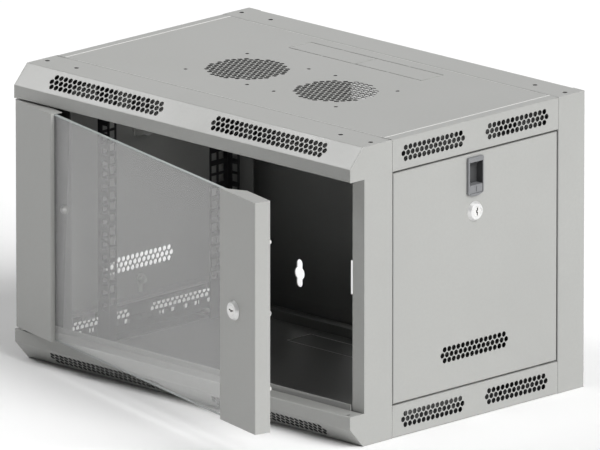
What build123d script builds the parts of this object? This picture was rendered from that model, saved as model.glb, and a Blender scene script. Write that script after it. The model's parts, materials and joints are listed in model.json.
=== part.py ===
from build123d import *
import math
import os

os.makedirs("parts", exist_ok=True)

# ---------------------------------------------------------------------------
# Wall cabinet for 6 rack units. Millimetres, +Z up, +X to the right as seen
# from the front, +Y towards the wall. The origin is the centre of the wall
# face: the back is the plane y = 0, the front is y = -DEPTH, and the body
# runs from z = -HEIGHT/2 to z = +HEIGHT/2.
# ---------------------------------------------------------------------------

# overall
WIDTH = 570.0
DEPTH = 400.0
HEIGHT = 368.0
SHEET = 1.2  # cabinet sheet
RACK_SHEET = 1.5  # rack rails, struts and back panel
FOLD = 1.6  # outside radius of a fold
FOLD_IN = 0.4  # inside radius of a fold
HALF = WIDTH / 2  # outer face of a side
IN = HALF - SHEET  # inner face of a side

# front frame, as distances behind the front plane and heights above the base
CHAMFER_Y = 22.0
CHAMFER_Z = 24.0
BAND_TOP = 40.0  # door opening starts at this height above the base
SILL = 22.3  # depth of the ledge in front of the door stop
NOTCH = 24.0  # depth of the side's cut-out for the door
FRAME_REAR = 71.0  # rear plane of the front frame
JAMB = 265.2  # inner edge of the jamb behind the door
STUD_FLANGE = 258.0  # inner edge of the side's rear flange
STOP_Z = 47.5  # top of the lower door stop

# side rails and rear frame
SEAM = 0.5
COLUMN = 354.3  # front plane of the rear columns
RAIL_FLANGE = 267.5  # inner edge of a rail's flange
LIP = 34.0  # lower end of a rail's lip
COLUMN_IN = 233.0  # inner edge of a column's front flange
BACK_FLANGE = 265.0  # inner edge of a column's rear flange
CHANNEL = 18.0  # height of a rear channel's back flange
LIP_FLOOR = 13.0  # height of the floor panel's folded ends

# vents
VENT_R = 3.3
VENT_PITCH = 7.78
VENT_ROW = VENT_PITCH * math.sqrt(3) / 2
FRONT_VENT_X = 137.8
RAIL_VENT_Y = (140.4, 283.1)
PANEL_VENT = (211.0, 85.6)

# roof and floor panels
FAN_X, FAN_Y, FAN_HOLE, FAN_HOLE_R = 75.0, 187.0, 105.0, 2.5
GRILLE_R = 53.3
KNOCK_X, KNOCK_Y0, KNOCK_Y1, KNOCK_GAP = 113.2, 294.8, 333.6, 1.6
CORNER_HOLES_X = (224.0, 274.0)
CORNER_HOLES_Y = (45.5, 376.5)
CORNER_HOLE_R = 3.0

# wall fixing and cable openings in the back
KEY_X, KEY_Z = 196.5, 134.3
KEY_SLOT_R, KEY_LENGTH, KEY_R = 5.0, 35.0, 8.5
CABLE_X, CABLE_Z0, CABLE_Z1 = 109.0, 40.0, 83.0

# rack rails: 6 units of 44.45, square holes 9.5, columns 465.1 apart
UNIT = 44.45
UNITS = 6
HOLE_PATTERN = (6.35, 22.225, 38.1)
SQUARE = 9.5
RACK_COLUMN = 465.1 / 2
RACK_IN, RACK_OUT = 225.0, 245.5
RACK_FRONT, RACK_REAR, RACK_LEG = 101.0, 324.0, 31.6
RACK_SIDE_COLUMNS = (12.4, 24.5)
RACK_END = 2.9
STRUT_IN, STRUT_OUT, STRUT_Z = 256.0, 278.5, 20.5
STRUT_SLOT, STRUT_PITCH, STRUT_FIRST = 9.0, 20.0, 82.5

# door: pivot, opening angle as stored, and its own local frame
PIVOT_X, PIVOT_Y = -275.0, 7.0
DOOR_OPEN = 14.5
DOOR_Z0, DOOR_Z1 = 42.3, 326.3
DOOR_L, DOOR_R = -9.5, 559.5  # left and right ends, from the pivot
DOOR_FRONT = -7.0
HINGE_DEPTH, LOCK_DEPTH = 16.5, 21.6
HINGE_STRIP, LOCK_STRIP = 85.5, 82.5
GLASS_FRONT, GLASS_T = -2.0, 5.0
GLASS_Z0, GLASS_Z1 = 43.9, 324.7
DOOR_LOCK_X, DOOR_LOCK_Z = 510.5, 184.0
BUMPER_Z = (95.0, 275.0)
PIN_R, PIN_BORE_R = 2.5, 2.55
SHELF_TOP, PIN_COLLAR_Z = 301.5, 322.0
SPRING_R, SPRING_WIRE_R = 3.5, 0.35

# side panels
PANEL_Y0, PANEL_Y1 = 73.0, 352.2
PANEL_Z0, PANEL_Z1 = 42.0, 326.0
PANEL_FOLD = 13.2
LATCH_Y = 210.3
SIDE_LOCK_Y, SIDE_LOCK_Z = 211.0, 254.4

# cam lock, shared by the door and the side panels
LOCK_BASE_R, LOCK_FACE_R, LOCK_PROUD = 12.2, 9.6, 4.0
LOCK_BARREL_R, LOCK_FLATS, LOCK_BARREL = 9.0, 16.5, 18.0
CORE_R, CORE_BORE_R = 6.0, 6.05
# hook of a side lock's cam: inner and outer radius, lead along the arc, half width of the arm
HOOK_R0, HOOK_R1, HOOK_LEAD, HOOK_ARM = 26.0, 29.2, 6.6, 3.0


def yf(d):
    """y of a point d behind the front plane."""
    return d - DEPTH


def zb(h):
    """z of a point h above the underside."""
    return h - HEIGHT / 2


def across(x):
    """Plane facing +X at x: local x is y, local y is z."""
    return Plane.YZ.offset(x)


def facing_front(d):
    """Plane facing the viewer, d behind the front plane: local x is x, local y is z."""
    return Plane(origin=(0, yf(d), 0), x_dir=(1, 0, 0), z_dir=(0, -1, 0))


def folded(path, thick, side, r_out=FOLD, r_in=FOLD_IN):
    """Section of a sheet folded along path, its thickness on side (+1 left of travel), with rounded folds."""
    turn = []
    for (x0, y0), (x1, y1) in zip(path, path[1:]):
        length = math.hypot(x1 - x0, y1 - y0)
        turn.append(((x1 - x0) / length, (y1 - y0) / length))
    other = []
    for i, (x, y) in enumerate(path):
        a = turn[max(i - 1, 0)]
        b = turn[min(i, len(turn) - 1)]
        na = (-side * a[1], side * a[0])
        nb = (-side * b[1], side * b[0])
        k = thick / (1 + na[0] * nb[0] + na[1] * nb[1])
        other.append((x + k * (na[0] + nb[0]), y + k * (na[1] + nb[1])))
    Polygon(*(list(path) + other[::-1]), align=None)
    here = BuildSketch._get_context()
    for i in range(1, len(path) - 1):
        a, b = turn[i - 1], turn[i]
        left = a[0] * b[1] - a[1] * b[0] > 0
        outside_is_path = (side > 0) == left
        outside = path[i] if outside_is_path else other[i]
        inside = other[i] if outside_is_path else path[i]
        for point, radius in ((outside, r_out), (inside, r_in)):
            corner = here.vertices().sort_by_distance((point[0], point[1], 0))[0]
            fillet(corner, radius=radius)


def box_on(plane, a0, a1, b0, b1, amount, mode=Mode.ADD):
    """Rectangular block: a0..a1 by b0..b1 in the plane, extruded by amount."""
    with BuildSketch(plane) as area:
        with Locations(((a0 + a1) / 2, (b0 + b1) / 2)):
            Rectangle(a1 - a0, b1 - b0)
    extrude(area.sketch, amount=amount, mode=mode)


def vent_group(middle):
    """Centres of three staggered rows; the middle row has one hole more."""
    points = []
    for row, count in ((-1, middle - 1), (0, middle), (1, middle - 1)):
        for i in range(count):
            points.append(((i - (count - 1) / 2) * VENT_PITCH, row * VENT_ROW))
    return points


def turned(plane, angle):
    """The same plane with its local x turned by angle."""
    a = math.radians(angle)
    return Plane(
        origin=plane.origin,
        x_dir=plane.x_dir * math.cos(a) + plane.y_dir * math.sin(a),
        z_dir=plane.z_dir,
    )


def drill(plane, points, radius, depth):
    """Round holes through the sheet on both sides of the plane."""
    with BuildSketch(plane) as round_holes:
        with Locations(*points):
            Circle(radius)
    extrude(round_holes.sketch, amount=depth, both=True, mode=Mode.SUBTRACT)


# ---------------------------------------------------------------------------
# front frame
# ---------------------------------------------------------------------------

with BuildPart() as front_bottom_beam:
    with BuildSketch(across(-IN)):
        folded(
            [
                (yf(FRAME_REAR), zb(12)),
                (yf(FRAME_REAR), zb(0)),
                (yf(CHAMFER_Y), zb(0)),
                (yf(0), zb(CHAMFER_Z)),
                (yf(0), zb(BAND_TOP)),
                (yf(SILL), zb(BAND_TOP)),
            ],
            SHEET,
            -1,
        )
    extrude(amount=2 * IN)
    for sx in (-1, 1):
        slope = Plane(
            origin=(sx * FRONT_VENT_X, yf(CHAMFER_Y / 2), zb(CHAMFER_Z / 2)),
            x_dir=(1, 0, 0),
            z_dir=(0, -CHAMFER_Z, -CHAMFER_Y),
        )
        drill(slope, vent_group(25), VENT_R, 4)
    # floor fixing holes and the two hinge holes, one used and one spare
    drill(
        Plane.XY.offset(zb(0)),
        [(sx * x, yf(CORNER_HOLES_Y[0])) for sx in (-1, 1) for x in CORNER_HOLES_X],
        CORNER_HOLE_R,
        4,
    )
    drill(
        Plane.XY.offset(zb(BAND_TOP)),
        [(sx * PIVOT_X, yf(PIVOT_Y)) for sx in (-1, 1)],
        PIN_BORE_R,
        3,
    )
front_bottom_beam.part.label = "front_bottom_beam"

with BuildPart() as front_top_beam:
    mirror(front_bottom_beam.part, about=Plane.XY)
front_top_beam.part.label = "front_top_beam"

with BuildPart() as lower_door_stop:
    box_on(facing_front(SILL), -263.5, 263.5, zb(30), zb(STOP_Z), -SHEET)
lower_door_stop.part.label = "lower_door_stop"

with BuildPart() as upper_door_stop:
    mirror(lower_door_stop.part, about=Plane.XY)
upper_door_stop.part.label = "upper_door_stop"

with BuildPart() as front_right_cheek:
    with BuildSketch(across(IN)):
        with BuildLine():
            Polyline(
                (yf(FRAME_REAR), zb(0)),
                (yf(CHAMFER_Y), zb(0)),
                (yf(0), zb(CHAMFER_Z)),
                (yf(0), zb(BAND_TOP)),
                (yf(NOTCH), zb(BAND_TOP)),
                (yf(NOTCH), zb(HEIGHT - BAND_TOP)),
                (yf(0), zb(HEIGHT - BAND_TOP)),
                (yf(0), zb(HEIGHT - CHAMFER_Z)),
                (yf(CHAMFER_Y), zb(HEIGHT)),
                (yf(FRAME_REAR), zb(HEIGHT)),
                close=True,
            )
        make_face()
    extrude(amount=SHEET)
    # jamb behind the door, and the rear flange that carries the side rails
    box_on(facing_front(NOTCH), JAMB, IN, zb(BAND_TOP), zb(HEIGHT - BAND_TOP), -SHEET)
    box_on(facing_front(FRAME_REAR), STUD_FLANGE, IN, zb(13), zb(HEIGHT - 13), SHEET)
    drill(
        facing_front(FRAME_REAR),
        [(276.0, zb(24)), (276.0, zb(HEIGHT - 24))],
        3.2,
        3,
    )
front_right_cheek.part.label = "front_right_cheek"

with BuildPart() as front_left_cheek:
    mirror(front_right_cheek.part, about=Plane.YZ)
front_left_cheek.part.label = "front_left_cheek"

# ---------------------------------------------------------------------------
# side rails: channels with vents, an inner lip and a bolted plate at each end
# ---------------------------------------------------------------------------

with BuildPart() as lower_right_rail:
    with BuildSketch(facing_front(FRAME_REAR + SEAM)):
        folded(
            [
                (RAIL_FLANGE, zb(LIP)),
                (RAIL_FLANGE, zb(BAND_TOP)),
                (HALF, zb(BAND_TOP)),
                (HALF, zb(0)),
                (RAIL_FLANGE, zb(0)),
            ],
            SHEET,
            -1,
        )
    extrude(amount=-(COLUMN - FRAME_REAR - 2 * SEAM))
    for d, way in ((FRAME_REAR, -1), (COLUMN, 1)):
        box_on(
            facing_front(d),
            RAIL_FLANGE + SHEET,
            IN,
            zb(SHEET),
            zb(BAND_TOP - SHEET),
            way * SHEET,
        )
        drill(facing_front(d), [(276.0, zb(24))], 3.2, 3)
    for d in RAIL_VENT_Y:
        wall = Plane(
            origin=(HALF, yf(d), zb(BAND_TOP / 2)), x_dir=(0, 1, 0), z_dir=(1, 0, 0)
        )
        drill(wall, vent_group(14), VENT_R, 4)
lower_right_rail.part.label = "lower_right_rail"

with BuildPart() as lower_left_rail:
    mirror(lower_right_rail.part, about=Plane.YZ)
lower_left_rail.part.label = "lower_left_rail"

with BuildPart() as upper_right_rail:
    mirror(lower_right_rail.part, about=Plane.XY)
upper_right_rail.part.label = "upper_right_rail"

with BuildPart() as upper_left_rail:
    mirror(lower_left_rail.part, about=Plane.XY)
upper_left_rail.part.label = "upper_left_rail"

# ---------------------------------------------------------------------------
# rear frame
# ---------------------------------------------------------------------------

with BuildPart() as rear_right_column:
    with BuildSketch(Plane.XY.offset(zb(0))):
        folded(
            [
                (COLUMN_IN, yf(COLUMN)),
                (HALF, yf(COLUMN)),
                (HALF, yf(DEPTH)),
                (BACK_FLANGE, yf(DEPTH)),
            ],
            SHEET,
            1,
        )
    extrude(amount=HEIGHT)
    drill(
        facing_front(COLUMN), [(276.0, zb(24)), (276.0, zb(HEIGHT - 24))], 3.2, 3
    )
rear_right_column.part.label = "rear_right_column"

with BuildPart() as rear_left_column:
    mirror(rear_right_column.part, about=Plane.YZ)
rear_left_column.part.label = "rear_left_column"

with BuildPart() as rear_bottom_channel:
    with BuildSketch(across(-(COLUMN_IN - 0.1))):
        folded(
            [
                (yf(COLUMN), zb(12)),
                (yf(COLUMN), zb(0)),
                (yf(DEPTH), zb(0)),
                (yf(DEPTH), zb(CHANNEL)),
            ],
            SHEET,
            1,
        )
    extrude(amount=2 * (COLUMN_IN - 0.1))
    # the flat runs on between the columns' folds
    box_on(
        Plane.XY.offset(zb(0)),
        -IN,
        IN,
        yf(COLUMN + SHEET + 0.3),
        yf(DEPTH - SHEET - 0.3),
        SHEET,
    )
    for x0, x1 in ((-BACK_FLANGE, 0.2 - COLUMN_IN), (COLUMN_IN - 0.2, BACK_FLANGE)):
        box_on(facing_front(DEPTH), x0, x1, zb(0.6), zb(CHANNEL), SHEET)
    drill(
        Plane.XY.offset(zb(0)),
        [(sx * x, yf(CORNER_HOLES_Y[1])) for sx in (-1, 1) for x in CORNER_HOLES_X],
        CORNER_HOLE_R,
        4,
    )
rear_bottom_channel.part.label = "rear_bottom_channel"

with BuildPart() as rear_top_channel:
    mirror(rear_bottom_channel.part, about=Plane.XY)
rear_top_channel.part.label = "rear_top_channel"

with BuildPart() as back_panel:
    box_on(
        facing_front(DEPTH),
        -BACK_FLANGE,
        BACK_FLANGE,
        zb(CHANNEL),
        zb(HEIGHT - CHANNEL),
        RACK_SHEET,
    )
    with BuildSketch(facing_front(DEPTH)):
        with GridLocations(2 * KEY_X, 2 * KEY_Z, 2, 2):
            SlotOverall(KEY_LENGTH, 2 * KEY_SLOT_R, rotation=90)
            Circle(KEY_R)
        for sz in (-1, 1):
            with Locations((0, sz * (HEIGHT / 2 - (CABLE_Z0 + CABLE_Z1) / 2))):
                RectangleRounded(2 * CABLE_X, CABLE_Z1 - CABLE_Z0, 1.0)
    extrude(amount=4, both=True, mode=Mode.SUBTRACT)
back_panel.part.label = "back_panel"

# ---------------------------------------------------------------------------
# roof and floor panels with their break-out plates
# ---------------------------------------------------------------------------

with BuildPart() as bottom_panel:
    with BuildSketch(across(-RAIL_FLANGE)):
        folded(
            [
                (yf(FRAME_REAR), zb(LIP_FLOOR)),
                (yf(FRAME_REAR), zb(0)),
                (yf(COLUMN), zb(0)),
                (yf(COLUMN), zb(LIP_FLOOR)),
            ],
            SHEET,
            1,
            r_out=0.9,
            r_in=0.3,
        )
    extrude(amount=2 * RAIL_FLANGE)
    box_on(
        Plane.XY.offset(zb(-2)),
        -KNOCK_X,
        KNOCK_X,
        yf(KNOCK_Y0),
        yf(KNOCK_Y1),
        6,
        mode=Mode.SUBTRACT,
    )
bottom_panel.part.label = "bottom_panel"

with BuildPart() as top_panel:
    mirror(bottom_panel.part, about=Plane.XY)
    roof = Plane.XY.offset(zb(HEIGHT))
    holes = []
    reach = GRILLE_R - VENT_R
    for row in range(-8, 9):
        for i in range(-9, 10):
            px = (i + (row % 2) / 2) * VENT_PITCH
            py = row * VENT_ROW
            if math.hypot(px, py) <= reach:
                holes.append((px, py))
    for sx in (-1, 1):
        drill(roof, [(sx * FAN_X + px, yf(FAN_Y) + py) for px, py in holes], VENT_R, 4)
        drill(
            roof,
            [
                (sx * FAN_X + a * FAN_HOLE / 2, yf(FAN_Y) + b * FAN_HOLE / 2)
                for a in (-1, 1)
                for b in (-1, 1)
            ],
            FAN_HOLE_R,
            4,
        )
top_panel.part.label = "top_panel"

with BuildPart() as bottom_knockouts:
    for sx in (-1, 1):
        # plate, and the thin bridges that hold it in its window
        box_on(
            Plane.XY.offset(zb(0)),
            min(sx * KNOCK_GAP / 2, sx * (KNOCK_X - KNOCK_GAP)),
            max(sx * KNOCK_GAP / 2, sx * (KNOCK_X - KNOCK_GAP)),
            yf(KNOCK_Y0 + KNOCK_GAP),
            yf(KNOCK_Y1 - KNOCK_GAP),
            SHEET,
        )
        for d0, d1 in (
            (KNOCK_Y0, KNOCK_Y0 + KNOCK_GAP),
            (KNOCK_Y1 - KNOCK_GAP, KNOCK_Y1),
        ):
            box_on(
                Plane.XY.offset(zb(0)),
                sx * 56.0 - 1.5,
                sx * 56.0 + 1.5,
                yf(d0),
                yf(d1),
                SHEET,
            )
bottom_knockouts.part.label = "bottom_knockouts"

with BuildPart() as top_knockouts:
    mirror(bottom_knockouts.part, about=Plane.XY)
top_knockouts.part.label = "top_knockouts"

# ---------------------------------------------------------------------------
# depth struts and rack rails
# ---------------------------------------------------------------------------

with BuildPart() as lower_right_strut:
    with BuildSketch(facing_front(72.7)):
        folded(
            [
                (STRUT_IN, zb(SHEET)),
                (STRUT_OUT, zb(SHEET)),
                (STRUT_OUT, zb(STRUT_Z)),
            ],
            RACK_SHEET,
            1,
        )
    extrude(amount=-(352.6 - 72.7))
    with BuildSketch(across(STRUT_OUT)):
        for i in range(14):
            with Locations((yf(STRUT_FIRST + i * STRUT_PITCH), zb(15.3))):
                Rectangle(STRUT_SLOT, 6.0)
    extrude(amount=4, both=True, mode=Mode.SUBTRACT)
    drill(
        Plane.XY.offset(zb(SHEET)),
        [(268.0, yf(RACK_FRONT + 15.0)), (268.0, yf(RACK_REAR - 15.0))],
        2.7,
        4,
    )
lower_right_strut.part.label = "lower_right_strut"

with BuildPart() as lower_left_strut:
    mirror(lower_right_strut.part, about=Plane.YZ)
lower_left_strut.part.label = "lower_left_strut"

with BuildPart() as upper_right_strut:
    mirror(lower_right_strut.part, about=Plane.XY)
upper_right_strut.part.label = "upper_right_strut"

with BuildPart() as upper_left_strut:
    mirror(lower_left_strut.part, about=Plane.XY)
upper_left_strut.part.label = "upper_left_strut"

RACK_HOLES_Z = [
    -UNITS * UNIT / 2 + k * UNIT + h for k in range(UNITS) for h in HOLE_PATTERN
]

with BuildPart() as front_right_rack_rail:
    with BuildSketch(Plane.XY.offset(zb(RACK_END))):
        folded(
            [
                (RACK_IN, yf(RACK_FRONT)),
                (RACK_OUT, yf(RACK_FRONT)),
                (RACK_OUT, yf(RACK_FRONT + RACK_LEG)),
            ],
            RACK_SHEET,
            1,
        )
    extrude(amount=HEIGHT - 2 * RACK_END)
    with BuildSketch(facing_front(RACK_FRONT)):
        with Locations(*[(RACK_COLUMN, z) for z in RACK_HOLES_Z]):
            Rectangle(SQUARE, SQUARE)
    extrude(amount=3, both=True, mode=Mode.SUBTRACT)
    with BuildSketch(across(RACK_OUT)):
        with Locations(
            *[
                (yf(RACK_FRONT + d), z)
                for d in RACK_SIDE_COLUMNS
                for z in RACK_HOLES_Z
            ]
        ):
            Rectangle(SQUARE, SQUARE)
    extrude(amount=3, both=True, mode=Mode.SUBTRACT)
front_right_rack_rail.part.label = "front_right_rack_rail"

MIDDLE = Plane(
    origin=(0, yf((RACK_FRONT + RACK_REAR) / 2), 0), x_dir=(1, 0, 0), z_dir=(0, -1, 0)
)

with BuildPart() as front_left_rack_rail:
    mirror(front_right_rack_rail.part, about=Plane.YZ)
front_left_rack_rail.part.label = "front_left_rack_rail"

with BuildPart() as rear_right_rack_rail:
    mirror(front_right_rack_rail.part, about=MIDDLE)
rear_right_rack_rail.part.label = "rear_right_rack_rail"

with BuildPart() as rear_left_rack_rail:
    mirror(front_left_rack_rail.part, about=MIDDLE)
rear_left_rack_rail.part.label = "rear_left_rack_rail"

with BuildPart() as rack_rail_feet:
    foot_z = SHEET + RACK_SHEET
    for d in (RACK_FRONT + 15.0, RACK_REAR - 15.0):
        with BuildSketch(facing_front(d - 13.0)):
            with BuildLine():
                Polyline(
                    (RACK_OUT, zb(foot_z)),
                    (275.0, zb(foot_z)),
                    (275.0, zb(foot_z + 2.0)),
                    (RACK_OUT + 2.0, zb(foot_z + 2.0)),
                    (RACK_OUT + 2.0, zb(32)),
                    (RACK_OUT, zb(32)),
                    close=True,
                )
            make_face()
        extrude(amount=-26.0)
        drill(Plane.XY.offset(zb(foot_z)), [(268.0, yf(d))], 2.7, 4)
    mirror(about=Plane.YZ)
    mirror(about=Plane.XY)
rack_rail_feet.part.label = "rack_rail_feet"

# ---------------------------------------------------------------------------
# bolts of the frame, the fixed lower hinge pin and the earth studs
# ---------------------------------------------------------------------------

with BuildPart() as frame_bolts:
    for d, way in ((FRAME_REAR - SHEET, 1), (COLUMN + SHEET, -1)):
        # head on the flange, shank through the flange and the rail's end plate
        with BuildSketch(facing_front(d)):
            with Locations((276.0, zb(24))):
                RegularPolygon(5.0, 6)
        extrude(amount=way * 4.0)
        with BuildSketch(facing_front(d)):
            with Locations((276.0, zb(24))):
                Circle(3.0)
        extrude(amount=-way * 6.0)
    for d in (RACK_FRONT + 15.0, RACK_REAR - 15.0):
        with BuildSketch(Plane.XY.offset(zb(foot_z + 2.0))):
            with Locations((268.0, yf(d))):
                Circle(4.6)
        extrude(amount=3.0)
        with BuildSketch(Plane.XY.offset(zb(foot_z + 2.0))):
            with Locations((268.0, yf(d))):
                Circle(2.5)
        extrude(amount=-3.3)
        with BuildSketch(Plane.XY.offset(zb(foot_z + 5.0))):
            with Locations((268.0, yf(d))):
                RegularPolygon(2.2, 6)
        extrude(amount=-1.8, mode=Mode.SUBTRACT)
    mirror(about=Plane.YZ)
    mirror(about=Plane.XY)
frame_bolts.part.label = "frame_bolts"

with BuildPart() as lower_hinge_pin:
    with BuildSketch(Plane.XY.offset(zb(34))):
        with Locations((PIVOT_X, yf(PIVOT_Y))):
            Circle(PIN_R)
    extrude(amount=15.0)
    with BuildSketch(Plane.XY.offset(zb(BAND_TOP))):
        with Locations((PIVOT_X, yf(PIVOT_Y))):
            Circle(5.5)
    extrude(amount=0.9)
    with BuildSketch(Plane.XY.offset(zb(BAND_TOP - SHEET))):
        with Locations((PIVOT_X, yf(PIVOT_Y))):
            Circle(4.5)
    extrude(amount=-2.0)
    chamfer(lower_hinge_pin.edges().sort_by(Axis.Z)[-1], length=0.8)
lower_hinge_pin.part.label = "lower_hinge_pin"

with BuildPart() as frame_earth_studs:
    with BuildSketch(facing_front(FRAME_REAR - SHEET)):
        with Locations((268.0, zb(179))):
            RegularPolygon(5.6, 6)
    extrude(amount=4.0)
    with BuildSketch(facing_front(FRAME_REAR - SHEET - 4.0)):
        with Locations((268.0, zb(179))):
            Circle(4.6)
    extrude(amount=3.2, taper=35)
    mirror(about=Plane.YZ)
frame_earth_studs.part.label = "frame_earth_studs"

# ---------------------------------------------------------------------------
# door, stored ajar: local x runs along the door from its pivot, local y goes
# behind it, local z is height above the underside
# ---------------------------------------------------------------------------

TH = math.radians(DOOR_OPEN)
ALONG = Vector(math.cos(TH), -math.sin(TH), 0)
BEHIND = Vector(math.sin(TH), math.cos(TH), 0)
DOOR = Plane(
    origin=(PIVOT_X, yf(PIVOT_Y), zb(0)), x_dir=ALONG, z_dir=(0, 0, 1)
)


def door_at(x, y, z):
    """World point of a door-local point."""
    return DOOR.from_local_coords(Vector(x, y, z))


def door_front(x, y, z):
    """Plane parallel to the door's face at a door-local point, facing out of the front."""
    return Plane(origin=door_at(x, y, z), x_dir=ALONG, z_dir=BEHIND * -1)


BARE_L = DOOR_L + HINGE_STRIP
BARE_R = DOOR_R - LOCK_STRIP
RETURN_L = DOOR_FRONT + HINGE_DEPTH
RETURN_R = DOOR_FRONT + LOCK_DEPTH

with BuildPart() as door_hinge_strip:
    with BuildSketch(DOOR.offset(DOOR_Z0)):
        folded(
            [
                (DOOR_L, RETURN_L),
                (DOOR_L, DOOR_FRONT),
                (BARE_L, DOOR_FRONT),
                (BARE_L, GLASS_FRONT),
            ],
            SHEET,
            1,
            r_out=1.4,
        )
    extrude(amount=DOOR_Z1 - DOOR_Z0)
    for z in (DOOR_Z0, DOOR_Z1 - SHEET):
        with BuildSketch(DOOR.offset(z)):
            with BuildLine():
                Polyline(
                    (DOOR_L + SHEET, DOOR_FRONT + SHEET),
                    (BARE_L - SHEET, DOOR_FRONT + SHEET),
                    (BARE_L - SHEET, RETURN_L),
                    (DOOR_L + SHEET, RETURN_L),
                    close=True,
                )
            make_face()
        extrude(amount=SHEET)
    # shelf that guides the sprung pin
    box_on(
        DOOR.offset(SHELF_TOP - 1.5),
        DOOR_L + SHEET,
        12.0,
        DOOR_FRONT + SHEET,
        RETURN_L - 1.0,
        1.5,
    )
    with BuildSketch(DOOR.offset(290.0)):
        Circle(PIN_BORE_R)
    extrude(amount=50.0, mode=Mode.SUBTRACT)
    with BuildSketch(DOOR.offset(DOOR_Z0 - 1.0)):
        Circle(4.0)
    extrude(amount=3.0, mode=Mode.SUBTRACT)
door_hinge_strip.part.label = "door_hinge_strip"

with BuildPart() as door_lock_strip:
    with BuildSketch(DOOR.offset(DOOR_Z0)):
        folded(
            [
                (BARE_R, GLASS_FRONT),
                (BARE_R, DOOR_FRONT),
                (DOOR_R, DOOR_FRONT),
                (DOOR_R, RETURN_R),
                (DOOR_R - 9.0, RETURN_R),
            ],
            SHEET,
            1,
            r_out=1.4,
        )
    extrude(amount=DOOR_Z1 - DOOR_Z0)
    for z in (DOOR_Z0, DOOR_Z1 - SHEET):
        with BuildSketch(DOOR.offset(z)):
            with BuildLine():
                Polyline(
                    (BARE_R + SHEET, DOOR_FRONT + SHEET),
                    (DOOR_R - SHEET, DOOR_FRONT + SHEET),
                    (DOOR_R - SHEET, RETURN_R - SHEET),
                    (DOOR_R - 9.0, RETURN_R - SHEET),
                    (DOOR_R - 9.0, RETURN_R),
                    (BARE_R + 28.0, RETURN_R),
                    close=True,
                )
            make_face()
        extrude(amount=SHEET)
    # rounded lug on the edge of the return at lock height
    lug = Plane(
        origin=door_at(DOOR_R - SHEET, 0, 0), x_dir=BEHIND, z_dir=ALONG
    )
    with BuildSketch(lug):
        with Locations((RETURN_R - 2.8, DOOR_LOCK_Z + 4.5)):
            Circle(4.0)
    extrude(amount=SHEET)
    with BuildSketch(door_front(DOOR_LOCK_X, DOOR_FRONT, DOOR_LOCK_Z)):
        Circle(LOCK_BARREL_R + 0.1)
    extrude(amount=-3.0, mode=Mode.SUBTRACT)
door_lock_strip.part.label = "door_lock_strip"

with BuildPart() as door_glass:
    with BuildSketch(DOOR.offset(GLASS_Z0)):
        with BuildLine():
            Polyline(
                (BARE_L - 20.0, GLASS_FRONT),
                (BARE_R + 20.0, GLASS_FRONT),
                (BARE_R + 20.0, GLASS_FRONT + GLASS_T),
                (BARE_L - 20.0, GLASS_FRONT + GLASS_T),
                close=True,
            )
        make_face()
    extrude(amount=GLASS_Z1 - GLASS_Z0)
    chamfer(
        door_glass.edges()
        .filter_by(lambda e: e.length > 300)
        .group_by(Axis.Z)[-1],
        length=0.6,
    )
door_glass.part.label = "door_glass"

with BuildPart() as door_glass_tapes:
    for x0, x1 in ((BARE_L - 17.0, BARE_L - 5.0), (BARE_R + 5.0, BARE_R + 17.0)):
        box_on(
            DOOR.offset(GLASS_Z0 + 2.0),
            x0,
            x1,
            DOOR_FRONT + SHEET,
            GLASS_FRONT,
            GLASS_Z1 - GLASS_Z0 - 4.0,
        )
door_glass_tapes.part.label = "door_glass_tapes"

with BuildPart() as door_bumpers:
    for z in BUMPER_Z:
        with BuildSketch(door_front(DOOR_R - 4.2, RETURN_R, z)):
            Circle(3.0)
        extrude(amount=-2.2, taper=12)
door_bumpers.part.label = "door_bumpers"

with BuildPart() as lower_hinge_bush:
    with BuildSketch(DOOR.offset(DOOR_Z0 - 1.2)):
        Circle(6.0)
    extrude(amount=1.2)
    with BuildSketch(DOOR.offset(DOOR_Z0)):
        Circle(4.0)
    extrude(amount=7.5)
    with BuildSketch(DOOR.offset(DOOR_Z0 - 2.0)):
        Circle(PIN_BORE_R)
    extrude(amount=12.0, mode=Mode.SUBTRACT)
lower_hinge_bush.part.label = "lower_hinge_bush"

with BuildPart() as upper_hinge_pin:
    with BuildSketch(DOOR.offset(296.0)):
        Circle(PIN_R)
    extrude(amount=38.0)
    # collar that stops under the door's top flange
    with BuildSketch(DOOR.offset(PIN_COLLAR_Z)):
        Circle(4.6)
    extrude(amount=DOOR_Z1 - SHEET - PIN_COLLAR_Z)
    # finger lever for drawing the pin down, reached from behind the door
    with BuildSketch(Plane(origin=door_at(0, 0, 323.5), x_dir=ALONG, z_dir=BEHIND)):
        Circle(1.4)
    extrude(amount=8.5)
    chamfer(upper_hinge_pin.edges().sort_by(Axis.Z)[-1], length=0.8)
upper_hinge_pin.part.label = "upper_hinge_pin"

with BuildPart() as upper_hinge_spring:
    coil_height = PIN_COLLAR_Z - SHELF_TOP - 2 * SPRING_WIRE_R
    with BuildLine() as coil:
        Helix(
            pitch=coil_height / 8,
            height=coil_height,
            radius=SPRING_R,
            center=door_at(0, 0, SHELF_TOP + SPRING_WIRE_R),
        )
    with BuildSketch(Plane(origin=coil.line @ 0, z_dir=coil.line % 0)):
        Circle(SPRING_WIRE_R)
    sweep(path=coil.line)
upper_hinge_spring.part.label = "upper_hinge_spring"

# ---------------------------------------------------------------------------
# cam locks: front is a plane on the sheet's outer face, facing outwards, whose
# local y points up
# ---------------------------------------------------------------------------


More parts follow.
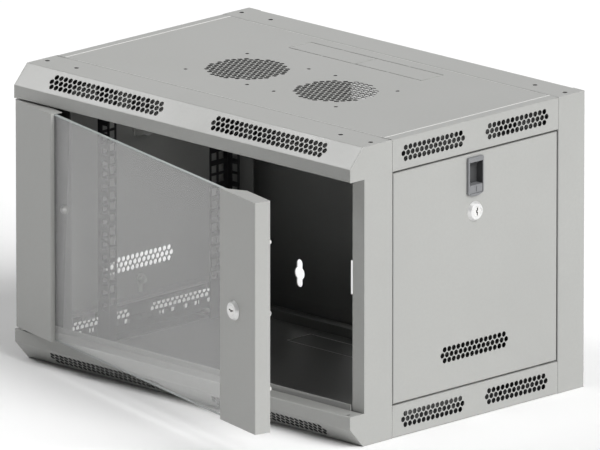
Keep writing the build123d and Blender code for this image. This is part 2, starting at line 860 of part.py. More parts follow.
def lock_body(front):
    """Flared collar outside the sheet and a barrel with two flats behind it, bored for the core."""
    with BuildSketch(front) as collar:
        Circle(LOCK_BASE_R)
    flare = math.degrees(math.atan((LOCK_BASE_R - LOCK_FACE_R) / LOCK_PROUD))
    extrude(collar.sketch, amount=LOCK_PROUD, taper=flare)
    with BuildSketch(front) as barrel:
        Circle(LOCK_BARREL_R)
        with Locations((LOCK_FLATS / 2 + 5, 0), (-LOCK_FLATS / 2 - 5, 0)):
            Rectangle(10, 30, mode=Mode.SUBTRACT)
    extrude(barrel.sketch, amount=-LOCK_BARREL)
    with BuildSketch(front.offset(LOCK_PROUD + 1)) as bore:
        Circle(CORE_BORE_R)
    extrude(bore.sketch, amount=-LOCK_PROUD - LOCK_BARREL - 2, mode=Mode.SUBTRACT)


def lock_nut(front):
    """Hexagon nut behind the sheet."""
    with BuildSketch(front.offset(-SHEET)) as hexagon:
        RegularPolygon(13.2, 6)
        Circle(LOCK_BARREL_R + 0.1, mode=Mode.SUBTRACT)
    extrude(hexagon.sketch, amount=-3.0)


def lock_core(front, tail, upright):
    """Turning core with its keyway, long enough to carry the cam."""
    with BuildSketch(front.offset(LOCK_PROUD)) as plug:
        Circle(CORE_R)
    extrude(plug.sketch, amount=-LOCK_PROUD - tail)
    with BuildSketch(turned(front.offset(LOCK_PROUD), 0 if upright else 90)) as keyway:
        with Locations((0.7, 2.9)):
            Rectangle(1.7, 3.8)
        with Locations((-0.6, 0.3)):
            Rectangle(1.7, 3.2)
        with Locations((0.5, -2.9)):
            Rectangle(1.5, 4.0)
        with Locations((0.0, 1.4), (0.0, -1.1)):
            Rectangle(2.4, 1.0)
    extrude(keyway.sketch, amount=-4.0, mode=Mode.SUBTRACT)


def lock_cam(front, tail, reach, angle, thick=2.0):
    """Flat cam behind the core, pointing at angle from local x, with its fixing screw's head."""
    back = turned(front.offset(-tail), angle)
    with BuildSketch(back) as lever:
        with BuildLine():
            Line((0, 6.5), (reach - 5.0, 5.0))
            ThreePointArc((reach - 5.0, 5.0), (reach, 0), (reach - 5.0, -5.0))
            Line((reach - 5.0, -5.0), (0, -6.5))
            ThreePointArc((0, -6.5), (-6.5, 0), (0, 6.5))
        make_face()
    extrude(lever.sketch, amount=-thick)
    with BuildSketch(back.offset(-thick)) as screw:
        Circle(4.2)
    extrude(screw.sketch, amount=-2.2)


def hooked_cam(front, tail, thick=1.5):
    """Flat cam pointing along local -x whose hook leads upwards, with its fixing screw's head."""
    back = front.offset(-tail)
    lead = math.degrees(math.asin(HOOK_LEAD / HOOK_R1))
    lag = math.degrees(math.asin(HOOK_ARM / HOOK_R1))

    def on_arc(radius, angle):
        a = math.radians(180 - angle)
        return (radius * math.cos(a), radius * math.sin(a))

    with BuildSketch(back) as lever:
        with BuildLine():
            Polyline((0, 6.5), (-17.0, HOOK_ARM), (-24.0, HOOK_ARM))
            Line((-24.0, HOOK_ARM), on_arc(HOOK_R0, lag))
            ThreePointArc(
                on_arc(HOOK_R0, lag),
                on_arc(HOOK_R0, (lag + lead) / 2),
                on_arc(HOOK_R0, lead),
            )
            Line(on_arc(HOOK_R0, lead), on_arc(HOOK_R1, lead))
            ThreePointArc(
                on_arc(HOOK_R1, lead),
                on_arc(HOOK_R1, (lead - lag) / 2),
                on_arc(HOOK_R1, -lag),
            )
            Polyline(on_arc(HOOK_R1, -lag), (-17.0, -HOOK_ARM), (0, -6.5))
            ThreePointArc((0, -6.5), (6.5, 0), (0, 6.5))
        make_face()
    extrude(lever.sketch, amount=-thick)
    with BuildSketch(back.offset(-thick)) as screw:
        Circle(4.2)
    extrude(screw.sketch, amount=-2.2)


DOOR_LOCK = door_front(DOOR_LOCK_X, DOOR_FRONT, DOOR_LOCK_Z)
DOOR_TAIL = 26.5

with BuildPart() as door_lock_body:
    lock_body(DOOR_LOCK)
door_lock_body.part.label = "door_lock_body"

with BuildPart() as door_lock_nut:
    lock_nut(DOOR_LOCK)
door_lock_nut.part.label = "door_lock_nut"

with BuildPart() as door_lock_core:
    lock_core(DOOR_LOCK, DOOR_TAIL, False)
door_lock_core.part.label = "door_lock_core"

with BuildPart() as door_lock_cam:
    lock_cam(DOOR_LOCK, DOOR_TAIL, 36.0, -90)
door_lock_cam.part.label = "door_lock_cam"

# ---------------------------------------------------------------------------
# right side panel and what is on it; the left side is its mirror image
# ---------------------------------------------------------------------------

SIDE_TAIL = 21.0


def side_plane(d, h):
    """Plane on the right side's outer face at a point, facing out, local y up."""
    return Plane(origin=(HALF, yf(d), zb(h)), x_dir=(0, 1, 0), z_dir=(1, 0, 0))


RIGHT_LOCK = side_plane(SIDE_LOCK_Y, SIDE_LOCK_Z)
RIGHT_LATCH = side_plane(LATCH_Y, 0)

with BuildPart() as right_side_panel:
    box_on(
        across(HALF),
        yf(PANEL_Y0),
        yf(PANEL_Y1),
        zb(PANEL_Z0),
        zb(PANEL_Z1),
        -PANEL_FOLD,
    )
    outer = right_side_panel.faces().sort_by(Axis.X)[-1]
    fillet(outer.edges(), radius=FOLD)
    offset(
        amount=-SHEET,
        openings=right_side_panel.faces().sort_by(Axis.X)[0],
    )
    # hooks that drop behind the lower rail's lip
    for d in (105.0, 318.0):
        with BuildSketch(facing_front(d - 10.0)):
            with BuildLine():
                Polyline(
                    (280.0, zb(PANEL_Z0)),
                    (264.0, zb(PANEL_Z0)),
                    (264.0, zb(34.5)),
                    (266.2, zb(34.5)),
                    (266.2, zb(BAND_TOP + 0.1)),
                    (280.0, zb(BAND_TOP + 0.1)),
                    close=True,
                )
            make_face()
        extrude(amount=-20.0)
    drill(
        Plane(
            origin=(HALF, yf(PANEL_VENT[0]), zb(PANEL_VENT[1])),
            x_dir=(0, 1, 0),
            z_dir=(1, 0, 0),
        ),
        vent_group(15),
        VENT_R,
        4,
    )
    drill(RIGHT_LOCK, [(0, 0)], LOCK_BARREL_R + 0.1, 4)
    box_on(RIGHT_LATCH, -12.4, 12.4, 276.0, 317.6, -3.0, mode=Mode.SUBTRACT)
right_side_panel.part.label = "right_side_panel"

with BuildPart() as right_latch_housing:
    # bezel with a bowed lower edge
    with BuildSketch(RIGHT_LATCH):
        with BuildLine():
            Polyline(
                (-13.3, 277.2), (-13.3, 322.0), (13.3, 322.0), (13.3, 277.2)
            )
            ThreePointArc((13.3, 277.2), (0, 273.8), (-13.3, 277.2))
        make_face()
        here = BuildSketch._get_context()
        fillet(here.vertices(), radius=2.0)
    extrude(amount=3.5)
    bezel_face = right_latch_housing.faces().sort_by(Axis.X)[-1]
    fillet(bezel_face.edges(), radius=0.8)
    # cup through the panel
    box_on(RIGHT_LATCH, -12.2, 12.2, 276.2, 317.4, -8.5)
    # finger recess, curved at its top
    recess = Plane(
        origin=(HALF, yf(LATCH_Y), zb(0)), x_dir=(1, 0, 0), z_dir=(0, -1, 0)
    )
    with BuildSketch(recess):
        with BuildLine():
            l1 = Line((4.5, 277.3), (-7.0, 277.3))
            l2 = Line(l1 @ 1, (-7.0, 304.5))
            l3 = TangentArc(l2 @ 1, (3.5, 316.0), tangent=(0, 1))
            l4 = Line(l3 @ 1, (4.5, 316.0))
            l5 = Line(l4 @ 1, l1 @ 0)
        make_face()
    extrude(amount=11.0, both=True, mode=Mode.SUBTRACT)
    # slot in the floor of the recess for the slider's neck
    box_on(
        RIGHT_LATCH.offset(-6.0), -3.4, 3.4, 277.4, 288.6, -4.0, mode=Mode.SUBTRACT
    )
right_latch_housing.part.label = "right_latch_housing"

with BuildPart() as right_latch_slider:
    # thumb piece with a groove, neck, stem, foot and tongue
    box_on(RIGHT_LATCH.offset(-6.8), -10.8, 10.8, 277.5, 287.7, 10.1)
    thumb = right_latch_slider.faces().sort_by(Axis.X)[-1]
    fillet(thumb.edges(), radius=0.5)
    box_on(RIGHT_LATCH.offset(2.5), -0.9, 0.9, 279.0, 286.4, 2.0, mode=Mode.SUBTRACT)
    with BuildSketch(
        Plane(origin=(HALF, yf(LATCH_Y), zb(0)), x_dir=(1, 0, 0), z_dir=(0, -1, 0))
    ):
        with BuildLine():
            Polyline(
                (-6.8, 277.8),
                (-6.8, 281.8),
                (-8.8, 281.8),
                (-8.8, 313.5),
                (-18.3, 313.5),
                (-18.3, 326.4),
                (-20.8, 326.4),
                (-20.8, 311.0),
                (-11.3, 311.0),
                (-11.3, 279.3),
                (-20.2, 279.3),
                (-20.2, 277.8),
                close=True,
            )
        make_face()
    extrude(amount=3.0, both=True)
    # foot that the lock's hook holds up, open where the cam's arm passes
    box_on(RIGHT_LATCH.offset(-11.3), -3.0, 7.6, 277.8, 279.3, -8.9)
    box_on(RIGHT_LATCH.offset(-20.2), 4.1, 7.6, 277.8, 279.3, -2.8)
right_latch_slider.part.label = "right_latch_slider"

with BuildPart() as right_lock_body:
    lock_body(RIGHT_LOCK)
right_lock_body.part.label = "right_lock_body"

with BuildPart() as right_lock_nut:
    lock_nut(RIGHT_LOCK)
right_lock_nut.part.label = "right_lock_nut"

with BuildPart() as right_lock_core:
    lock_core(RIGHT_LOCK, SIDE_TAIL, True)
right_lock_core.part.label = "right_lock_core"

with BuildPart() as right_lock_cam:
    hooked_cam(RIGHT_LOCK, SIDE_TAIL)
right_lock_cam.part.label = "right_lock_cam"

with BuildPart() as right_earth_tab:
    tab = side_plane(211.0, 62.0).offset(-SHEET)
    with BuildSketch(tab):
        Circle(7.0)
    extrude(amount=-1.6)
    with BuildSketch(tab.offset(-1.6)):
        RegularPolygon(5.6, 6)
    extrude(amount=-4.5)
    with BuildSketch(tab.offset(-6.1)):
        Circle(3.0)
    extrude(amount=-3.5)
    with BuildSketch(tab.offset(-0.6)):
        with Locations((0, -10.0)):
            RectangleRounded(6.3, 13.0, 1.0)
    extrude(amount=-0.9)
right_earth_tab.part.label = "right_earth_tab"

MIRRORED = {}
for piece in (
    right_side_panel,
    right_latch_housing,
    right_latch_slider,
    right_lock_body,
    right_lock_nut,
    right_lock_core,
    right_lock_cam,
    right_earth_tab,
):
    with BuildPart() as left_piece:
        mirror(piece.part, about=Plane.YZ)
    left_piece.part.label = piece.part.label.replace("right_", "left_")
    MIRRORED[left_piece.part.label] = left_piece

# ---------------------------------------------------------------------------
# one file per piece
# ---------------------------------------------------------------------------

for name in (
    front_top_beam,
    front_bottom_beam,
    front_left_cheek,
    front_right_cheek,
    upper_door_stop,
    lower_door_stop,
    upper_left_rail,
    upper_right_rail,
    lower_left_rail,
    lower_right_rail,
    rear_left_column,
    rear_right_column,
    rear_top_channel,
    rear_bottom_channel,
    back_panel,
    top_panel,
    bottom_panel,
    top_knockouts,
    bottom_knockouts,
    upper_left_strut,
    upper_right_strut,
    lower_left_strut,
    lower_right_strut,
    front_left_rack_rail,
    front_right_rack_rail,
    rear_left_rack_rail,
    rear_right_rack_rail,
    rack_rail_feet,
    frame_bolts,
    lower_hinge_pin,
    frame_earth_studs,
    door_hinge_strip,
    door_lock_strip,
    door_glass,
    door_glass_tapes,
    door_bumpers,
    lower_hinge_bush,
    upper_hinge_pin,
    upper_hinge_spring,
    door_lock_body,
    door_lock_nut,
    door_lock_core,
    door_lock_cam,
    right_side_panel,
    right_latch_housing,
    right_latch_slider,
    right_lock_body,
    right_lock_nut,
    right_lock_core,
    right_lock_cam,
    right_earth_tab,
    *MIRRORED.values(),
):
    export_step(name.part, "parts/" + name.part.label + ".step")
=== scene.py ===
import json
import math

import bpy
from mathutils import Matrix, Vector


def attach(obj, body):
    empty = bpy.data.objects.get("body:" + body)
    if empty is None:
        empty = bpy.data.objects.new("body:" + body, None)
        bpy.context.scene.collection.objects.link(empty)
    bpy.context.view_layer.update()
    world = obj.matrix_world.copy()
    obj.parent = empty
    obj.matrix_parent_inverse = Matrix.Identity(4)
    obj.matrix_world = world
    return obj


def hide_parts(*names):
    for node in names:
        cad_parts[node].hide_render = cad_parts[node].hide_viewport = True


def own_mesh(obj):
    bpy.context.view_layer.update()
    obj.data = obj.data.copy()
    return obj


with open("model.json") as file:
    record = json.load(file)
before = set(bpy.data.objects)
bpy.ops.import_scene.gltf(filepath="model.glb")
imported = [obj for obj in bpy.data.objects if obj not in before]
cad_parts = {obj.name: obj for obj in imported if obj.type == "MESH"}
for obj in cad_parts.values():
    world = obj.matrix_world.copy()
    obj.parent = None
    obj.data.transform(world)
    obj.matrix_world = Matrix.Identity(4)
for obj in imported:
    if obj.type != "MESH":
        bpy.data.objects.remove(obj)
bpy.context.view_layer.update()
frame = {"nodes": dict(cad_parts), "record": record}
NODES = frame["nodes"]

# ---------------------------------------------------------------------------
# dimensions that the looks need, in metres, in the row frame: the back plane
# is y = 0, the front plane y = -0.400, and z runs from -0.184 to 0.184
# ---------------------------------------------------------------------------

HALF_X, HALF_Z, FRONT = 0.285, 0.184, -0.400


def yf(d):
    """y of a point d millimetres behind the front plane."""
    return d / 1000 - 0.400


def zb(h):
    """z of a point h millimetres above the underside."""
    return h / 1000 - 0.184


# ---------------------------------------------------------------------------
# camera: a long lens, so that the view is nearly parallel, as in the picture
# ---------------------------------------------------------------------------

CAM_AZ, CAM_EL = 44.871, 14.986
CAM_TARGET = Vector((0.001498, -0.1996, 0.001480))
CAM_DISTANCE = 23.072

az, el = math.radians(CAM_AZ), math.radians(CAM_EL)
back = Vector((math.sin(az) * math.cos(el), -math.cos(az) * math.cos(el), math.sin(el)))
cam_data = bpy.data.cameras.new("camera")
cam_data.lens = 1150.0
cam_data.sensor_width = 36.0
cam_data.clip_start, cam_data.clip_end = 1.0, 200.0
camera = bpy.data.objects.new("camera", cam_data)
camera.location = CAM_TARGET + back * CAM_DISTANCE
camera.rotation_mode = "QUATERNION"
camera.rotation_quaternion = (-back).to_track_quat("-Z", "Y")
bpy.context.scene.collection.objects.link(camera)
bpy.context.scene.camera = camera

# ---------------------------------------------------------------------------
# materials
# ---------------------------------------------------------------------------


def new_material(name):
    m = bpy.data.materials.new(name)
    m.use_nodes = True
    nt = m.node_tree
    nt.nodes.clear()
    out = nt.nodes.new("ShaderNodeOutputMaterial")
    return m, nt, out


def link(nt, a, b):
    nt.links.new(a, b)


def noise(nt, coords, scale, detail=2.0, rough=0.5, dims="3D"):
    n = nt.nodes.new("ShaderNodeTexNoise")
    n.noise_dimensions = dims
    n.inputs["Scale"].default_value = scale
    n.inputs["Detail"].default_value = detail
    n.inputs["Roughness"].default_value = rough
    link(nt, coords, n.inputs["Vector"])
    return n.outputs["Fac"]


def ramp(nt, value, lo, hi, a, b):
    """Linear map of value from lo..hi to a..b, clamped."""
    m = nt.nodes.new("ShaderNodeMapRange")
    m.inputs["From Min"].default_value = lo
    m.inputs["From Max"].default_value = hi
    m.inputs["To Min"].default_value = a
    m.inputs["To Max"].default_value = b
    link(nt, value, m.inputs["Value"])
    return m.outputs["Result"]


def math_node(nt, op, a, b=None):
    m = nt.nodes.new("ShaderNodeMath")
    m.operation = op
    for i, v in enumerate((a, b)):
        if v is None:
            continue
        if isinstance(v, (int, float)):
            m.inputs[i].default_value = v
        else:
            link(nt, v, m.inputs[i])
    return m.outputs[0]


def mix_colour(nt, fac, a, b):
    m = nt.nodes.new("ShaderNodeMix")
    m.data_type = "RGBA"
    sockets = {
        "fac": m.inputs[0],
        "a": m.inputs[6],
        "b": m.inputs[7],
    }
    for key, v in (("fac", fac), ("a", a), ("b", b)):
        if isinstance(v, (int, float)):
            sockets[key].default_value = v
        elif isinstance(v, tuple):
            sockets[key].default_value = (*v, 1.0)
        else:
            link(nt, v, sockets[key])
    return m.outputs[2]


def soft_edges(nt, radius, samples=4):
    """Normal rounded at sharp edges, and a mask that is 1 on them."""
    bevel = nt.nodes.new("ShaderNodeBevel")
    bevel.samples = samples
    bevel.inputs["Radius"].default_value = radius
    geo = nt.nodes.new("ShaderNodeNewGeometry")
    dot = nt.nodes.new("ShaderNodeVectorMath")
    dot.operation = "DOT_PRODUCT"
    link(nt, bevel.outputs["Normal"], dot.inputs[0])
    link(nt, geo.outputs["Normal"], dot.inputs[1])
    return bevel.outputs["Normal"], ramp(nt, dot.outputs["Value"], 0.97, 0.80, 0.0, 1.0)


def powder_coat(name, colour, spread=0.03, rough=0.36, edge_gain=1.10, radius=0.0009, grain=0.10, metallic=0.0):
    """Fine-textured powder coat: orange-peel bump, slight tone and gloss variation, paler edges that are partly wear
    and partly a painted highlight.
    """
    m, nt, out = new_material(name)
    tc = nt.nodes.new("ShaderNodeTexCoord").outputs["Object"]
    cloud = noise(nt, tc, 6.0, 3.0, 0.55)
    mottle = noise(nt, tc, 260.0, 3.0, 0.6)
    peel = noise(nt, tc, 1150.0, 2.0, 0.55)
    speck = noise(nt, tc, 3600.0, 1.0, 0.5)
    lo = tuple(c * (1 - spread) for c in colour)
    hi = tuple(min(1.0, c * (1 + spread)) for c in colour)
    tone = mix_colour(nt, ramp(nt, cloud, 0.3, 0.7, 0.0, 1.0), lo, hi)
    grainy = mix_colour(nt, ramp(nt, mottle, 0.35, 0.65, 0.0, 0.35), tone, tuple(c * (1 - 2.2 * spread) for c in colour))
    flecked = mix_colour(nt, ramp(nt, speck, 0.62, 0.74, 0.0, 0.30), grainy, tuple(min(1.0, c * (1 + 4 * spread)) for c in colour))
    round_normal, edge = soft_edges(nt, radius)
    # painted highlight and wear: the sheet's sharp edges are lightened by edge_gain, patchily
    edge_highlight_and_wear = mix_colour(nt, math_node(nt, "MULTIPLY", edge, ramp(nt, mottle, 0.3, 0.6, 0.35, 1.0)), flecked, tuple(min(1.0, c * edge_gain) for c in colour))
    p = nt.nodes.new("ShaderNodeBsdfPrincipled")
    link(nt, edge_highlight_and_wear, p.inputs["Base Color"])
    link(nt, ramp(nt, cloud, 0.25, 0.75, rough - 0.04, rough + 0.05), p.inputs["Roughness"])
    p.inputs["Specular IOR Level"].default_value = 0.45
    p.inputs["Metallic"].default_value = metallic
    b1 = nt.nodes.new("ShaderNodeBump")
    b1.inputs["Strength"].default_value = grain
    b1.inputs["Distance"].default_value = 0.00022
    link(nt, peel, b1.inputs["Height"])
    link(nt, round_normal, b1.inputs["Normal"])
    b2 = nt.nodes.new("ShaderNodeBump")
    b2.inputs["Strength"].default_value = grain * 0.5
    b2.inputs["Distance"].default_value = 0.00008
    link(nt, speck, b2.inputs["Height"])
    link(nt, b1.outputs["Normal"], b2.inputs["Normal"])
    link(nt, b2.outputs["Normal"], p.inputs["Normal"])
    link(nt, p.outputs["BSDF"], out.inputs["Surface"])
    return m


def plated(name, colour, rough=0.25, brushed=0.0, spread=0.06, radius=0.0004, metal=1.0):
    """Plated metal with faint casting ripple, rub marks and tarnish, and lighter edges as a painted highlight."""
    m, nt, out = new_material(name)
    tc = nt.nodes.new("ShaderNodeTexCoord").outputs["Object"]
    mp = nt.nodes.new("ShaderNodeMapping")
    mp.inputs["Scale"].default_value = (1.0, 1.0, 0.06 if brushed else 1.0)
    link(nt, tc, mp.inputs["Vector"])
    cloud = noise(nt, tc, 90.0, 3.0, 0.6)
    lines = noise(nt, mp.outputs["Vector"], 2600.0, 2.0, 0.6)
    ripple = noise(nt, tc, 700.0, 2.0, 0.5)
    base = mix_colour(nt, ramp(nt, cloud, 0.3, 0.7, 0.0, 1.0), tuple(c * (1 - spread) for c in colour), tuple(min(1, c * (1 + spread)) for c in colour))
    round_normal, edge = soft_edges(nt, radius)
    # painted highlight: the plating is made lighter on its sharp edges
    bright = mix_colour(nt, math_node(nt, "MULTIPLY", edge, 0.6), base, tuple(min(1.0, c * 1.2) for c in colour))
    p = nt.nodes.new("ShaderNodeBsdfPrincipled")
    p.inputs["Metallic"].default_value = metal
    link(nt, bright, p.inputs["Base Color"])
    link(nt, ramp(nt, math_node(nt, "ADD", cloud, math_node(nt, "MULTIPLY", lines, 0.5)), 0.4, 1.1, rough - 0.06, rough + 0.08), p.inputs["Roughness"])
    b = nt.nodes.new("ShaderNodeBump")
    b.inputs["Strength"].default_value = 0.05 + brushed * 0.15
    b.inputs["Distance"].default_value = 0.0001
    link(nt, lines if brushed else ripple, b.inputs["Height"])
    link(nt, round_normal, b.inputs["Normal"])
    link(nt, b.outputs["Normal"], p.inputs["Normal"])
    link(nt, p.outputs["BSDF"], out.inputs["Surface"])
    return m


def moulded(name, colour, rough=0.5, spread=0.04, grain=0.12, grain_scale=1800.0):
    """Moulded plastic or rubber with spark-eroded texture."""
    m, nt, out = new_material(name)
    tc = nt.nodes.new("ShaderNodeTexCoord").outputs["Object"]
    cloud = noise(nt, tc, 60.0, 2.0, 0.5)
    spark = nt.nodes.new("ShaderNodeTexVoronoi")
    spark.feature = "SMOOTH_F1"
    spark.inputs["Scale"].default_value = grain_scale
    link(nt, tc, spark.inputs["Vector"])
    fine = noise(nt, tc, grain_scale * 1.7, 2.0, 0.6)
    base = mix_colour(nt, ramp(nt, cloud, 0.3, 0.7, 0.0, 1.0), tuple(c * (1 - spread) for c in colour), tuple(min(1, c * (1 + spread)) for c in colour))
    round_normal, edge = soft_edges(nt, 0.0004)
    rubbed = mix_colour(nt, math_node(nt, "MULTIPLY", edge, ramp(nt, fine, 0.35, 0.6, 0.2, 0.8)), base, tuple(min(1.0, c * 1.25 + 0.01) for c in colour))
    p = nt.nodes.new("ShaderNodeBsdfPrincipled")
    link(nt, rubbed, p.inputs["Base Color"])
    link(nt, ramp(nt, fine, 0.3, 0.7, rough - 0.05, rough + 0.06), p.inputs["Roughness"])
    p.inputs["Specular IOR Level"].default_value = 0.4
    b = nt.nodes.new("ShaderNodeBump")
    b.inputs["Strength"].default_value = grain
    b.inputs["Distance"].default_value = 0.00012
    link(nt, spark.outputs["Distance"], b.inputs["Height"])
    link(nt, round_normal, b.inputs["Normal"])
    link(nt, b.outputs["Normal"], p.inputs["Normal"])
    link(nt, p.outputs["BSDF"], out.inputs["Surface"])
    return m


def sheet_glass(name, tint, body, mirror, smear=0.03):
    """Thin clear glass: what is behind shows unshifted, under a reflection that grows at a glancing angle."""
    m, nt, out = new_material(name)
    tc = nt.nodes.new("ShaderNodeTexCoord").outputs["Object"]
    wipe = noise(nt, tc, 14.0, 4.0, 0.65)
    dust = noise(nt, tc, 900.0, 2.0, 0.7)
    clear = nt.nodes.new("ShaderNodeBsdfTransparent")
    clear.inputs["Color"].default_value = (*tint, 1.0)
    p = nt.nodes.new("ShaderNodeBsdfPrincipled")
    p.inputs["Base Color"].default_value = (*body, 1.0)
    p.inputs["Specular IOR Level"].default_value = 1.0
    p.inputs["IOR"].default_value = 1.5
    link(nt, ramp(nt, wipe, 0.3, 0.8, 0.015, 0.015 + smear), p.inputs["Roughness"])
    facing = nt.nodes.new("ShaderNodeLayerWeight")
    facing.inputs["Blend"].default_value = 0.5
    glance = math_node(nt, "POWER", facing.outputs["Facing"], 3.0)
    film = math_node(nt, "ADD", math_node(nt, "ADD", math_node(nt, "MULTIPLY", glance, 1.0 - mirror), mirror), ramp(nt, dust, 0.55, 0.8, 0.0, 0.004))
    mix = nt.nodes.new("ShaderNodeMixShader")
    link(nt, film, mix.inputs["Fac"])
    link(nt, clear.outputs["BSDF"], mix.inputs[1])
    link(nt, p.outputs["BSDF"], mix.inputs[2])
    link(nt, mix.outputs["Shader"], out.inputs["Surface"])
    return m


GREY = (0.345, 0.347, 0.335)
paint = powder_coat("light_grey_powder_coat", GREY, edge_gain=1.6)
# painted highlight: a much paler copy of the grey paint for the roof's seam beads
paint_ridge_highlight = powder_coat("light_grey_painted_highlight", (0.70, 0.70, 0.685), rough=0.34, edge_gain=1.1)
# painted shade: the same paint, darker, for the faces inside the cabinet
paint_inside_shade = powder_coat("light_grey_inside_painted_shade", (0.275, 0.276, 0.270), rough=0.42, edge_gain=1.35, grain=0.03)
# painted light: a near-white copy of the paint for the beads along the floor's break-out slots
paint_slot_light = powder_coat("light_grey_painted_slot_light", (0.88, 0.88, 0.87), rough=0.4, edge_gain=1.0)
# painted shade: the same paint near black, for hole walls, the hollows of beams, cheeks and rails, and the roof slot
# strips
paint_hollow_shade = powder_coat("light_grey_paint_hollow_shade", (0.045, 0.045, 0.044), rough=0.6, edge_gain=1.3, grain=0.03)
black = powder_coat("black_powder_coat", (0.012, 0.012, 0.013), rough=0.5, edge_gain=1.8)
zinc = plated("zinc_plate", (0.62, 0.62, 0.60), rough=0.38, brushed=1.0, metal=0.7)
chrome = plated("lock_plating", (0.70, 0.70, 0.695), rough=0.30, metal=0.40)
nickel = plated("lock_core_plating", (0.76, 0.755, 0.74), rough=0.34, brushed=1.0, metal=0.45)
plastic = moulded("latch_grey_plastic", (0.185, 0.188, 0.195), rough=0.42)
# painted shade: a darker copy of the latch plastic for the finger recess
plastic_recess_shade = moulded("latch_recess_painted_shade", (0.055, 0.056, 0.058), rough=0.55)
rubber = moulded("pale_rubber", (0.60, 0.60, 0.58), rough=0.6, grain=0.25)
foam = moulded("pale_foam_tape", (0.62, 0.63, 0.62), rough=0.7, grain=0.4, grain_scale=1200.0)
glass = sheet_glass("door_glass_clear", (0.985, 0.987, 0.985), (0.96, 0.96, 0.957), 0.075)
glass_edge = moulded("glass_polished_edge", (0.36, 0.39, 0.385), rough=0.2, grain=0.02)

by_slot = {
    "light_grey_paint": paint,
    "black_paint": black,
    "zinc_plate": zinc,
    "lock_chrome": chrome,
    "lock_core_nickel": nickel,
    "clear_glass": glass,
    "tape_foam": foam,
    "soft_rubber": rubber,
    "grey_plastic": plastic,
}

# ---------------------------------------------------------------------------
# which faces of the painted sheet are outside the cabinet; the others get darker copies of the paint as painted shade
# ---------------------------------------------------------------------------


def in_beam(c):
    """Inside the hollow of a front beam: behind the band or the chamfer and outside the door's opening."""
    h = HALF_Z - abs(c.z)
    d = c.y - FRONT
    return 0.0006 < h and h < 0.0395 and 0.0006 < d and d > (0.024 - h) * 22 / 24 + 0.0008


def frame_outer(c, n):
    ax, az_ = abs(c.x), abs(c.z)
    if ax > HALF_X - 0.0006 or az_ > HALF_Z - 0.0006 or c.y > -0.0004:
        return True
    if az_ > HALF_Z - 0.0404 and c.y < yf(73.0):
        return not in_beam(c) or (az_ < HALF_Z - 0.0394 and c.y < yf(24.0))
    return c.y < yf(24.6)


def rail_outer(c, n):
    ax, h = abs(c.x), HALF_Z - abs(c.z)
    return ax > HALF_X - 0.0006 or h < 0.0006 or (h > 0.0394 and ax > 0.2684)


def in_side_hollow(c):
    """Inside the folded side wall, behind its outer skin."""
    return 0.2660 < abs(c.x) < HALF_X - 0.0006


CHAMFER_NORMAL = Vector((0.0, -24.0, 22.0)).normalized()


def hole_wall(poly):
    """A small facet of the wall of a hole punched through a sheet of the outside."""
    c, n = poly.center, poly.normal
    if poly.area > 5e-6:
        return False
    if abs(c.z) > HALF_Z - 0.0013:
        return abs(n.z) < 0.3
    if abs(c.x) > HALF_X - 0.0013:
        return abs(n.x) < 0.3
    if c.y < yf(24.0) and abs(c.z) > HALF_Z - 0.024:
        return abs(n.dot(Vector((0.0, CHAMFER_NORMAL.y, math.copysign(CHAMFER_NORMAL.z, c.z))))) < 0.3
    return False


def panel_outer(c, n):
    return abs(c.x) > HALF_X - 0.0016


def outer_everywhere(c, n):
    return True


def outer_rule(name):
    if name.endswith("_rail") and "rack" not in name:
        return rail_outer
    if name.endswith("side_panel"):
        return panel_outer
    if name.startswith("door_") or name.endswith("knockouts"):
        return outer_everywhere if name.startswith("door_") else frame_outer
    return frame_outer


record = frame["record"]
slot_of = {s["node"]: s.get("material_slot", s["node"]) for s in record["subparts"]}
for name, obj in NODES.items():
    slot = slot_of[name]
    mesh = obj.data
    mesh.materials.clear()
    mesh.materials.append(by_slot[slot])
    if slot == "light_grey_paint":
        mesh.materials.append(paint_inside_shade)
        mesh.materials.append(paint_hollow_shade)
        rule = outer_rule(name)
        hollow_wall = name.endswith("cheek") or (name.endswith("_rail") and "rack" not in name)
        for poly in mesh.polygons:
            # painted shade: hole walls and the hollows of beams, cheeks and rails take the near-black copy of the
            # paint
            if hole_wall(poly):
                poly.material_index = 2
            elif rule(poly.center, poly.normal):
                poly.material_index = 0
            elif (in_beam(poly.center) and name.endswith("beam")) or (in_side_hollow(poly.center) and hollow_wall):
                poly.material_index = 2
            # painted shade: the other inside faces take the darker copy of the paint
            else:
                poly.material_index = 1
    else:
        for poly in mesh.polygons:
            poly.material_index = 0
    if name.endswith("lock_core"):
        # painted shade: every face of the core behind its front face, the keyway's walls with it, gets the black coat
        mesh.materials.append(black)
        outwards = Vector((-math.sin(math.radians(14.5)), -math.cos(math.radians(14.5)), 0))
        if not name.startswith("door"):
            outwards = Vector((1 if name.startswith("right") else -1, 0, 0))
        front_most = max(v.co.dot(outwards) for v in mesh.vertices)
        for poly in mesh.polygons:
            if poly.center.dot(outwards) < front_most - 0.0003:
                poly.material_index = 1
    if name.endswith("latch_housing"):
        # painted shade: the finger recess gets a darker copy of the latch plastic than the rim
        mesh.materials.append(plastic_recess_shade)
        for poly in mesh.polygons:
            if abs(poly.center.x) < HALF_X + 0.0008:
                poly.material_index = 1
    if slot == "clear_glass":
        # the narrow polished edges are brighter than the faces
        mesh.materials.append(glass_edge)
        behind = Vector((math.sin(math.radians(14.5)), math.cos(math.radians(14.5)), 0))
        for poly in mesh.polygons:
            poly.material_index = 0 if abs(poly.normal.dot(behind)) > 0.9 else 1

# ---------------------------------------------------------------------------
# fine pieces that the sheet model leaves out
# ---------------------------------------------------------------------------


def add_piece(name, verts, faces, material, body, smooth=False):
    mesh = bpy.data.meshes.new(name)
    mesh.from_pydata([tuple(v) for v in verts], [], faces)
    mesh.materials.append(material)
    for poly in mesh.polygons:
        poly.use_smooth = smooth
    mesh.validate()
    piece = bpy.data.objects.new(name, mesh)
    bpy.context.scene.collection.objects.link(piece)
    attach(piece, body)
    return piece


